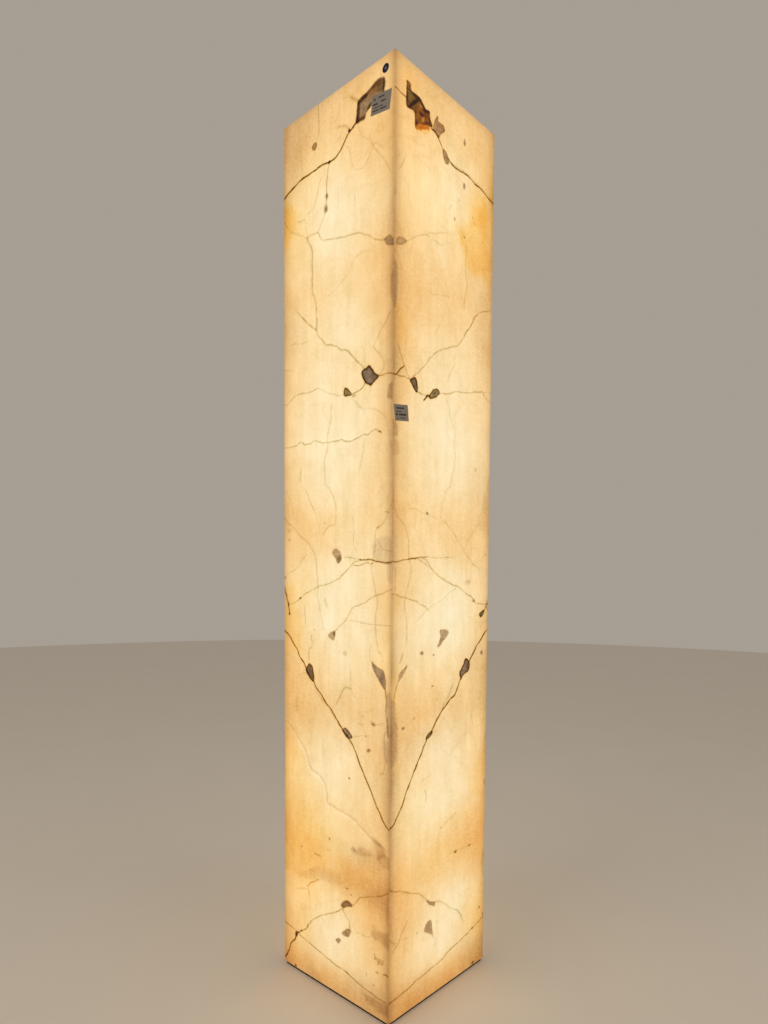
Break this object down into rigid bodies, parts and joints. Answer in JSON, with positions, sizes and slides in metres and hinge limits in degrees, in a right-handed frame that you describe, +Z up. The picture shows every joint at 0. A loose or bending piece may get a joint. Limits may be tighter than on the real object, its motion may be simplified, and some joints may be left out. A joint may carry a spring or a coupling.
{
  "type": "onyx column",
  "caption": "Tall square column of polished, book-matched honey onyx slabs, lit from within, on a thin dark base plate, with small paper labels near one corner.",
  "frame": {"origin": "middle of the square footprint, at floor level", "axes": "+Z up along the column's height, -Y towards the front slab, +X towards the right slab; the labels are beside the corner that these two slabs share"},
  "size_m": [0.3504, 0.3504, 2],
  "materials": {
    "onyx": "polished",
    "dark_steel": "satin",
    "aluminium": "satin",
    "light_strip": "matte",
    "grey_paper": "matte",
    "blue_paper": "satin"
  },
  "bodies": {
    "root": {"base_plate": "dark_steel", "slab_front": "onyx", "slab_right": "onyx", "slab_back": "onyx", "slab_left": "onyx", "lid_slab": "onyx", "lamp_foot": "aluminium", "lamp_post": "aluminium", "light_strip_front": "light_strip", "light_strip_right": "light_strip", "light_strip_back": "light_strip", "light_strip_left": "light_strip", "sheet_label": "grey_paper", "tag_label": "grey_paper", "dot_label": "blue_paper"}
  },
  "joints": []
}
